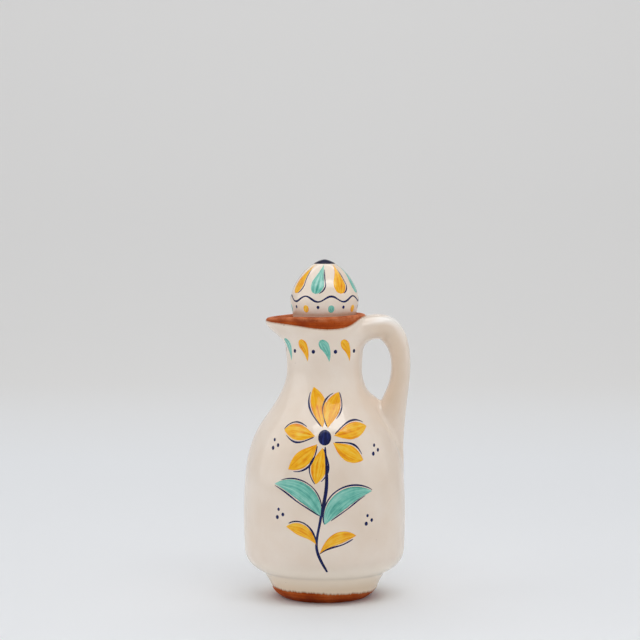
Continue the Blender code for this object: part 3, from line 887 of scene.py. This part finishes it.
def swellWall(strap):
    size = luting
    mesh = glazedWall.data
    points = pointArray(mesh, "co")
    normals = pointArray(mesh, "normal")
    near = (points[:, 0] > size["nearX"]) & (points[:, 2] > size["nearZ"])
    near = np.where(near & (bodyDistance(points) > -size["nearDepth"]))[0]
    upReach, asideReach = size["smearReach"]
    smear = ((points[:, 2] - size["smearZ"]) / upReach) ** 2
    smear = size["smear"] * np.exp(-smear - (np.arctan2(points[:, 1], points[:, 0]) / asideReach) ** 2)
    points[near] += normals[near] * smear[near, None]
    for index in near:
        point = Vector(points[index])
        normal = Vector(normals[index])
        reach = float(filletReach(points[index:index + 1])[0])
        swell = 0.0
        for turn in range(size["wallTurns"]):
            spot = point + normal * swell
            found, facing, face, away = strap.find_nearest(spot, size["search"])
            if found is None or (away > reach and turn == 0):
                break
            gap = away if (spot - found).dot(facing) > 0 else -away
            swell -= size["pace"] * float(softMinimum(swell, gap, reach))
            swell = min(max(swell, 0.0), size["most"])
        points[index] = point + normal * swell
    mesh.vertices.foreach_set("co", points.ravel())
    mesh.update()


plainStrap = strapSurface()
swellHandle()
swellWall(plainStrap)
print("handle luted on")


# stopper: hollow knob, its glaze and the cork sleeve

knobShape = {
    "seatDepth": 0.0090, "lipRoom": 0.0011, "radius": 0.0202, "equator": 0.0092, "dome": 0.0237,
    "domePower": 1.6, "wall": 0.0038, "undercut": 0.0023, "tenonRadius": 0.0100, "tenonBore": 0.0062,
    "tenonTip": 0.0012, "cork": 0.0150, "corkEdge": 0.0005, "clayRise": 0.0001, "sharpFrom": 50,
    "clayRipple": 0.00008, "glazeRipple": 0.00010, "corkRipple": 0.00006, "corkPitch": 500.0,
    # painted shade and painted reflection of the lip on the knob's lower glaze: strength, level below the
    # lip, height and reach
    "seatShade": 0.62, "seatShadeLow": 0.24, "seatShadeZ": 0.0011,
    "seatShadeReach": 0.0020, "capZ": 0.0203, "capDepth": 0.0003, "capProud": (0.00004, 0.00008),
}
seatZ = rimZ - knobShape["seatDepth"]
domeZ = knobShape["seatDepth"] + knobShape["equator"]
still = {"Sides": 128, "Spout Reach": 0.0, "Spout Droop": 0.0, "Rim Lift": 0.0, "Edge Wave": 0.0}


def throatRadius(z):
    return movedRadius(z, -(bodyShape["wall"] + skin))


def knobOutline():  # radius and height above the seat, up to the tip
    size = knobShape
    seat = np.array((throatRadius(seatZ) - bodyShape["gap"], 0.0))
    atRim = np.array((bodyShape["rimRadius"] - bodyShape["wall"] - size["lipRoom"], size["seatDepth"]))
    points = [seat + (atRim - seat) * share for share in np.linspace(0.0, 1.0, 8)]
    lean = (atRim[0] - seat[0]) / size["seatDepth"]
    for share in spread(0.0, 1.0, 10):
        radius = cubic(share, atRim[0], lean * size["equator"], size["radius"], 0.0)
        points.append((radius, size["seatDepth"] + size["equator"] * share))
    for turn in spread(0.0, math.pi / 2, 44)[:-1]:
        rise = size["dome"] * math.sin(turn) ** (2 / size["domePower"])
        points.append((size["radius"] * math.cos(turn) ** (2 / size["domePower"]), domeZ + rise))
    points.append((0.0, domeZ + size["dome"]))
    return [np.array(point) for point in points]


def insetOutline(points, depth):
    moved = []
    for index, point in enumerate(points[:-1]):
        ahead = points[index + 1] - points[max(index - 1, 0)]
        spot = point + np.array((-ahead[1], ahead[0])) / np.hypot(*ahead) * depth
        moved.append(np.array((max(spot[0], 0.0), spot[1])))
    moved.append(points[-1] - np.array((0.0, depth)))
    return moved


def raised(outline):
    return [(float(radius), float(z) + seatZ) for radius, z in outline]


def makeKnobClay():
    size = knobShape
    outside = insetOutline(knobOutline(), skin - size["clayRise"])
    hollow = [point for point in insetOutline(knobOutline(), skin + size["wall"]) if point[1] > size["wall"]]
    cut = size["undercut"]
    end = -(cut + bodyShape["gap"] + size["cork"] + size["tenonTip"])
    seat = outside[0]
    under = [(size["tenonBore"], size["wall"] - cut), (size["tenonBore"], end), (size["tenonRadius"], end),
             (size["tenonRadius"], -cut), (seat[0] - cut, -cut), (seat[0] - cut * 0.3, seat[1] - cut * 0.7)]
    return throw("knobClay", raised(hollow[::-1] + under + outside), redClay, **still,
                 Ripple=size["clayRipple"])


def seatShadeAndReflection(z):  # painted shade and painted reflection of the red lip on the knob's glaze, strongest just above the lip
    size = knobShape
    above = z - rimZ - size["seatShadeZ"]
    least = 0.0 if above > 0.0 else size["seatShadeLow"]
    return max(size["seatShade"] * math.exp(-abs(above) / size["seatShadeReach"]), least)


def makeKnobGlaze():
    outside = knobOutline()
    rows = raised(insetOutline(outside, bodyShape["glaze"])[::-1] + outside)
    rows = [(radius, z, 0.0, 0.0, 0.0, seatShadeAndReflection(z)) for radius, z in rows]
    return throw("knobGlaze", rows, creamGlaze, **still, Ripple=knobShape["glazeRipple"])


def makeCork():
    size = knobShape
    edge = size["corkEdge"]
    top = -(size["undercut"] + bodyShape["gap"])
    low = top - size["cork"]
    bore = size["tenonRadius"] + bodyShape["gap"]
    sides = [(throatRadius(seatZ + z) - bodyShape["gap"], z) for z in [low] + spread(low, top, 14)]
    foot = [(bore, low), (sides[0][0] - edge, low), (sides[1][0], low + edge)]
    rows = foot + sides[1:] + [(bore, top), (bore, low)]
    return throw("corkSleeve", raised(rows), corkBark, **still, **{
        "Ripple": size["corkRipple"], "Ripple Pitch": size["corkPitch"]})


def makeCap():  # cobalt button over the tip of the knob
    outside = [point for point in knobOutline() if point[1] > domeZ + knobShape["capZ"]]
    proud = np.array(knobShape["capProud"])
    over = [point + proud * (1.0 if step > 1 else -1.0) for step, point in enumerate(outside)]
    over[-1][0] = 0.0
    under = insetOutline(outside, knobShape["capDepth"])
    return throw("knobCap", raised(under[::-1] + over), capCobalt, **still)


knobClay = makeKnobClay()
knobGlaze = makeKnobGlaze()
corkSleeve = makeCork()
for piece in (knobClay, corkSleeve):
    piece.data.set_sharp_from_angle(angle=math.radians(knobShape["sharpFrom"]))
print("stopper turned")


# brushwork: strokes drawn flat, then laid on the glaze

brushLay = {
    "bristles": 9, "film": 0.00009, "root": 0.0002, "castFrom": 0.2, "castLength": 0.3, "weld": 0.000001,
    "thinnest": 0.03,
}


def makeBrushTree():
    tree, given = startTree("brushwork", {
        "Strokes": "Geometry", "Surface": "Object", "Wrap Radius": "Float", "Bristles": "Int",
        "Film": "Float", "Root": "Float", "Material": "Material"})

    def castAt(way, height):  # from outside towards the axis
        start = vector("ADD", vector("SCALE", way, scale=brushLay["castFrom"]), joinAxes(0.0, 0.0, height))
        return add(tree, "GeometryNodeRaycast", {
            "Target Geometry": surface, "Source Position": start, "Ray Length": brushLay["castLength"],
            "Ray Direction": vector("SCALE", way, scale=-1.0)}, "Hit Position")

    surface = add(tree, "GeometryNodeObjectInfo", {"Object": given["Surface"]}, "Geometry")
    curves = add(tree, "GeometryNodeMeshToCurve", {"Mesh": given["Strokes"]})
    curves = add(tree, "GeometryNodeSetCurveNormal", {"Curve": curves}, mode="Z_UP")
    brush = add(tree, "GeometryNodeCurvePrimitiveLine", {"Start": (-1, 0, 0), "End": (1, 0, 0)})
    brush = add(tree, "GeometryNodeResampleCurve", {"Curve": brush, "Count": given["Bristles"]})
    brush = storeValue(brush, "across", add(tree, "GeometryNodeSplineParameter", out="Factor"))
    film = add(tree, "GeometryNodeCurveToMesh", {
        "Curve": curves, "Profile Curve": brush, "Scale": attributeValue(tree, "halfWidth")})

    position = add(tree, "GeometryNodeInputPosition")
    flat = axisOf(position, "X")
    front = castAt(add(tree, "ShaderNodeCombineXYZ", {1: -1.0}), flat.out("Y"))
    ownRadius = vector("LENGTH", vector("MULTIPLY", front, (1, 1, 0))).out("Value")
    free = calc("LESS_THAN", given["Wrap Radius"], 0.000001)
    angle = flat / (ownRadius * free + given["Wrap Radius"])
    hit = castAt(joinAxes(calc("SINE", angle), calc("COSINE", angle) * -1.0, 0.0), flat.out("Y"))
    edge = calc("ABSOLUTE", attributeValue(tree, "across") * 2.0 - 1.0)
    lift = (1.0 - calc("POWER", edge, 4.0)) * given["Film"] - given["Film"] * 0.3
    rise = vector("SCALE", hit.out("Hit Normal"), scale=lift)
    top = add(tree, "GeometryNodeSetPosition", {"Geometry": film, "Position": vector("ADD", hit, rise)})
    inward = vector("NORMALIZE", vector("MULTIPLY", position, (-1, -1, 0)))
    sink = vector("SCALE", inward, scale=given["Root"])
    body = add(tree, "GeometryNodeExtrudeMesh", {
        "Mesh": top, "Offset": sink, "Offset Scale": 1.0, "Individual": False})
    under = add(tree, "GeometryNodeFlipFaces", {"Mesh": body})
    both = add(tree, "GeometryNodeJoinGeometry")
    plug(both.node, {0: top})
    plug(both.node, {0: under})
    endTree(tree, both, given["Material"], brushLay["weld"])
    return tree


brushTree = makeBrushTree()


class StrokeBook:  # gathers the strokes of one colour, in millimetres: across the front, and height
    def __init__(self):
        self.points = []
        self.joins = []
        self.values = {"halfWidth": [], "along": [], "seed": []}
        self.count = 0

    def stroke(self, path, widths):
        start = len(self.points)
        self.count += 1
        for step, ((x, y), width) in enumerate(zip(path, widths)):
            self.points.append((x * 0.001, y * 0.001, 0.0))
            self.values["halfWidth"].append(max(width, brushLay["thinnest"]) * 0.001)
            self.values["along"].append(step / (len(path) - 1))
            self.values["seed"].append((self.count * 0.618) % 1.0)
            if step:
                self.joins.append((start + step - 1, start + step))


def swing(start, end, bend, count):  # bowed path between two points
    start = np.array(start, float)
    end = np.array(end, float)
    ahead = end - start
    control = (start + end) / 2 + np.array((-ahead[1], ahead[0])) / np.hypot(*ahead) * bend * 2
    shares = np.linspace(0, 1, count)
    return [tuple(start * (1 - t) ** 2 + control * 2 * t * (1 - t) + end * t**2) for t in shares]


def leafWidths(half, count, belly):
    shares = np.linspace(0, 1, count)
    return [half * math.sin(math.pi * t**belly) ** 0.85 if 0 < t < 1 else 0.0 for t in shares]


def commaWidths(half, count, head=0.3):  # round head, long tail
    shares = np.linspace(0, 1, count)
    ball = np.sqrt(np.clip(1.0 - (1.0 - shares / head) ** 2, 0.0, 1.0))
    tail = np.clip((1.0 - shares) / (1.0 - head), 0.0, 1.0) ** 0.85
    return list(half * np.where(shares < head, ball, tail))


def linePath(knots, count):  # smooth line through a few knots
    knots = np.array(knots, float)
    path = []
    for spot in np.linspace(0, len(knots) - 1, count):
        low = min(int(spot), len(knots) - 2)
        t = spot - low
        before = knots[max(low - 1, 0)]
        after = knots[min(low + 2, len(knots) - 1)]
        near, far = knots[low], knots[low + 1]
        square = (2 * before - 5 * near + 4 * far - after) * t**2
        cube = (3 * near - before - 3 * far + after) * t**3
        path.append(tuple(0.5 * (2 * near + (far - before) * t + square + cube)))
    return path


def lineWidths(half, count, seed):  # the hand presses and eases
    return [half * (0.35 + 0.65 * math.sin(math.pi * t) ** 0.5) * (1.0 + 0.22 * math.sin(9 * t + seed))
            for t in np.linspace(0, 1, count)]


def dot(book, x, y, radius):
    shares = np.linspace(-0.98, 0.98, 15)
    path = [(x + radius * 0.1 * share, y + radius * share) for share in shares]
    book.stroke(path, [radius * math.sqrt(1 - share * share) for share in shares])


def leaf(book, start, end, bend, half, belly, count):
    path = swing(start, end, bend, count)
    widths = leafWidths(half, count, belly)
    book.stroke(path, widths)
    return path, widths


def edgeLine(book, path, widths, side, half, start, end, drift):  # beside a petal, not quite on its edge
    path = np.array(path)
    ahead = np.gradient(path, axis=0)
    aside = np.stack((-ahead[:, 1], ahead[:, 0]), 1) / np.hypot(ahead[:, 0], ahead[:, 1])[:, None]
    low = int(start * (len(path) - 1))
    high = int(end * (len(path) - 1)) + 1
    offset = np.array(widths) * 0.97 + half * 0.4 + drift * np.linspace(0, 1, len(path))
    line = [tuple(point) for point in (path + aside * (side * offset)[:, None])[low:high]]
    book.stroke(line, lineWidths(half, len(line), start * 20 + side))


bodyBrush = {
    "blossom": (0.0, 99.0), "petals": 7, "petalFrom": 5.6, "petalTo": 27.0, "petalHalf": 5.2, "heart": 4.3,
    "leaves": (((-2.4, 55.0), (-31.0, 72.0), -6.0, 6.0), ((0.0, 50.0), (29.0, 68.0), 6.4, 6.0)),
    "buds": (((-4.6, 38.0), (-23.0, 48.0), -3.2, 3.9), ((-3.0, 33.0), (18.5, 43.0), 3.6, 3.9)),
    "stem": ((1.5, 22.0), (-4.6, 36.0), (-2.4, 53.0), (1.0, 72.0), (0.3, 94.0)), "stemHalf": 1.05,
    "sprinkles": ((-33.0, 92.0), (30.5, 89.0), (-29.0, 53.0), (25.0, 49.5)),
    "sprinkle": ((0.0, 0.0), (3.8, 1.8), (0.9, 4.6)), "sprinkleDot": 1.2, "outline": (0.55, 0.44),
    "bandHeight": 147.5, "bandRadius": 22.9, "bandCount": 11, "handleRoom": 0.62, "comma": (3.2, 6.2),
    "bandDot": (6.4, 0.4, 1.2),
}


def paintBody():
    plan = bodyBrush
    books = {name: StrokeBook() for name in brushFinish}
    ochre, teal, cobalt = books["ochre"], books["teal"], books["cobalt"]
    bold, fine = plan["outline"]
    middle = np.array(plan["blossom"])
    for petal in range(plan["petals"]):
        angle = 2 * math.pi * (petal + 0.22 * math.sin(petal * 2.3)) / plan["petals"] + 0.2
        way = np.array((math.cos(angle), math.sin(angle)))
        base = middle + way * plan["petalFrom"]
        tip = middle + way * (plan["petalTo"] * (1.0 + 0.06 * math.sin(petal * 3.7)))
        shape = leaf(ochre, base, tip, 0.9 * math.sin(petal * 1.9), plan["petalHalf"], 1.15, 33)
        edgeLine(cobalt, *shape, 1, bold, 0.06, 0.93, 0.6)
        if petal % 2:
            edgeLine(cobalt, *shape, -1, fine, 0.3, 1.0, 0.3)
    dot(cobalt, *plan["blossom"], plan["heart"])
    for start, end, bend, half in plan["leaves"]:
        shape = leaf(teal, start, end, bend, half, 0.9, 37)
        edgeLine(cobalt, *shape, 1, bold, 0.0, 1.0, 0.5)
        edgeLine(cobalt, *shape, -1, fine, 0.1, 0.9, 0.0)
    for start, end, bend, half in plan["buds"]:
        shape = leaf(ochre, start, end, bend, half, 1.3, 31)
        edgeLine(cobalt, *shape, -1, bold, 0.0, 0.96, 0.6)
    cobalt.stroke(linePath(plan["stem"], 60), lineWidths(plan["stemHalf"], 60, 1.0))
    for x, y in plan["sprinkles"]:
        for step, (aside, above) in enumerate(plan["sprinkle"]):
            dot(cobalt, x + aside, y + above, plan["sprinkleDot"] - 0.12 * step)
    half, reach = plan["comma"]
    aside, below, size = plan["bandDot"]
    for place in range(plan["bandCount"]):
        angle = (place - plan["bandCount"] // 2) * 2 * math.pi / plan["bandCount"]
        if abs(angle - math.pi / 2) < plan["handleRoom"]:  # the handle is luted on here
            continue
        x = angle * plan["bandRadius"]
        path = swing((x - 2.9, plan["bandHeight"] + reach), (x + 2.7, plan["bandHeight"] - reach), 1.4, 25)
        (teal if place % 2 else ochre).stroke(path, commaWidths(half, 25))
        dot(cobalt, x + aside, plan["bandHeight"] - below, size)
    return books


knobBrush = {
    "waveHeight": 177.6, "waveSize": 1.6, "waves": 8, "waveHalf": 0.6, "drop": (-1.8, 180.6, 3.0, 197.4),
    "dropHalf": 5.4, "dotHeight": 171.8, "dot": 2.2, "fineDot": 1.0, "outline": 0.5, "waveSteps": 200,
}


def paintKnob():
    plan = knobBrush
    books = {name: StrokeBook() for name in brushFinish}
    ochre, teal, cobalt = books["ochre"], books["teal"], books["cobalt"]
    girth = 2 * math.pi * knobShape["radius"] * 1000
    steps = plan["waveSteps"]
    path = []
    for step in range(steps + 1):
        rise = plan["waveSize"] * math.sin(2 * math.pi * plan["waves"] * step / steps)
        path.append((girth * (step / steps - 0.5), plan["waveHeight"] + rise))
    cobalt.stroke(path, [plan["waveHalf"] * (1.0 + 0.2 * math.sin(step * 0.37)) for step in range(steps + 1)])
    left, low, right, top = plan["drop"]
    for place in range(plan["waves"]):
        x = girth * ((place + 0.75) / plan["waves"] - 0.5)
        drop = swing((x + left, low), (x + right, top), 0.8, 33)
        widths = commaWidths(plan["dropHalf"], 33, 0.36)
        dropBook, dotBook = (teal, ochre) if place % 2 else (ochre, teal)
        dropBook.stroke(drop, widths)
        edgeLine(cobalt, drop, widths, -1, plan["outline"], 0.06, 0.9, 0.5)
        dot(dotBook, girth * ((place + 0.25) / plan["waves"] - 0.5), plan["dotHeight"], plan["dot"])
        dot(cobalt, x, plan["dotHeight"] + 1.0, plan["fineDot"])
    return books


def layStrokes(name, books, surface, wrap):
    pieces = []
    for colour, book in books.items():
        flat = lineObject(name + colour.title(), book.points, book.values, book.joins)
        pieces.append(runTree(flat, brushTree, {
            "Surface": surface, "Wrap Radius": wrap, "Bristles": brushLay["bristles"],
            "Film": brushLay["film"], "Root": brushLay["root"], "Material": brushColours[colour]}))
    return pieces


bodyStrokes = layStrokes("bodyPaint", paintBody(), glazedWall, 0.0)
knobStrokes = layStrokes("knobPaint", paintKnob(), knobGlaze, knobShape["radius"])
knobStrokes.append(makeCap())
print("brushwork laid:", sum(len(piece.data.polygons) for piece in bodyStrokes + knobStrokes), "faces")


# each piece takes its place in the frame

for piece, body, slot, nodes in (
        (glazedWall, "carafe", "cream_glaze", ("glaze_coat",)),
        (glazedHandle, "carafe", "cream_glaze", ("clay_handle",)),
        (clayBody, "carafe", "red_clay", ("clay_body",)),
        (liningGlaze, "carafe", "cream_glaze", ("glaze_lining",)),
        (knobClay, "knob", "red_clay", ("stopper_knob",)),
        (knobGlaze, "knob", "cream_glaze", ("stopper_glaze",)),
        (corkSleeve, "cork", "cork", ("stopper_cork",))):
    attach(piece, body)
    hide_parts(*nodes)
for pieces, body in ((bodyStrokes, "carafe"), (knobStrokes, "knob")):
    for piece in pieces:
        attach(piece, body)
print("pieces ride on their bodies")


# studio: pale sweep, soft lights overhead, at both sides and behind

studio = {
    "sweepWidth": 8.0, "sweepFront": -4.0, "sweepBack": 1.3, "sweepBend": 2.3, "sweepTop": 5.0,
    "floor": tone(239, 241, 244), "wall": tone(236, 235, 234), "fadeY": (0.6, 1.35),
    "grain": tone(230, 231, 233), "sky": (0.98, 0.99, 1.0, 1.0), "skyStrength": 0.46,
    "lights": (  # name, place, aim, width, height, glow, lights the forms, is mirrored by the glaze
        ("overheadSoftbox", (0.085, -0.325, 0.675), (0.0, 0.0, 0.12), 0.56, 0.17, 2.4, True, True),
        ("overheadSpread", (0.085, -0.35, 0.65), (0.0, 0.0, 0.12), 0.56, 0.24, 1.2, True, False),
        ("ceilingSheen", (0.0, 0.1, 1.8), (0.0, 0.1, 0.0), 2.6, 2.2, 1.1, False, True),
        ("leftSoftbox", (-0.95, -0.12, 0.55), (0.0, 0.0, 0.1), 1.0, 1.1, 0.64, True, True),
        ("rightSoftbox", (0.95, -0.12, 0.55), (0.0, 0.0, 0.1), 1.0, 1.1, 0.33, True, True),
        ("backSoftbox", (0.0, 1.0, 1.3), (0.0, 0.0, 0.1), 1.8, 0.8, 0.62, True, False),
        ("backWash", (0.0, 1.2, 2.8), (0.0, 3.6, 0.9), 4.0, 1.5, 1.62, True, True),
    ),
}


def makeSweep():
    room = studio
    back, bend = room["sweepBack"], room["sweepBend"]
    line = [(room["sweepFront"], 0.0), (back, 0.0)]
    for turn in spread(0.0, math.pi / 2, 16):
        line.append((back + bend * math.sin(turn), bend * (1.0 - math.cos(turn))))
    line.append((back + bend, room["sweepTop"]))
    half = room["sweepWidth"] / 2
    points = [(side, y, z) for side in (-half, half) for y, z in line]
    count = len(line)
    faces = [(step, step + count, step + count + 1, step + 1) for step in range(count - 1)]
    mesh = bpy.data.meshes.new("paperSweep")
    mesh.from_pydata(points, [], faces)
    mesh.shade_smooth()
    material, tree, shader = startMaterial("palePaper")
    place = objectSpace(tree)
    colour = mixTone(spanOf(axisOf(place, "Y"), *room["fadeY"], 0.0, 1.0), room["floor"], room["wall"])
    colour = mixTone(spanOf(noise(place, 3.0), 0.3, 0.7, 0.0, 0.04), colour, room["grain"])
    plug(shader, {"Base Color": colour, "Roughness": 0.7})
    mesh.materials.append(material)
    sweep = bpy.data.objects.new("paperSweep", mesh)
    scene.collection.objects.link(sweep)


def makeLights():
    for name, place, aim, width, height, glow, lighting, mirrored in studio["lights"]:
        lamp = bpy.data.lights.new(name, "AREA")
        lamp.shape = "RECTANGLE"
        lamp.size = width
        lamp.size_y = height
        lamp.energy = glow * math.pi * width * height
        holder = bpy.data.objects.new(name, lamp)
        holder.location = place
        holder.visible_diffuse = lighting
        holder.visible_glossy = mirrored
        holder.rotation_euler = (Vector(aim) - Vector(place)).to_track_quat("-Z", "Y").to_euler()
        scene.collection.objects.link(holder)
    world = bpy.data.worlds.new("softRoom")
    world.use_nodes = True
    sky = world.node_tree.nodes["Background"]
    plug(sky, {"Color": studio["sky"], "Strength": studio["skyStrength"]})
    scene.world = world


makeSweep()
makeLights()
print("studio lit")
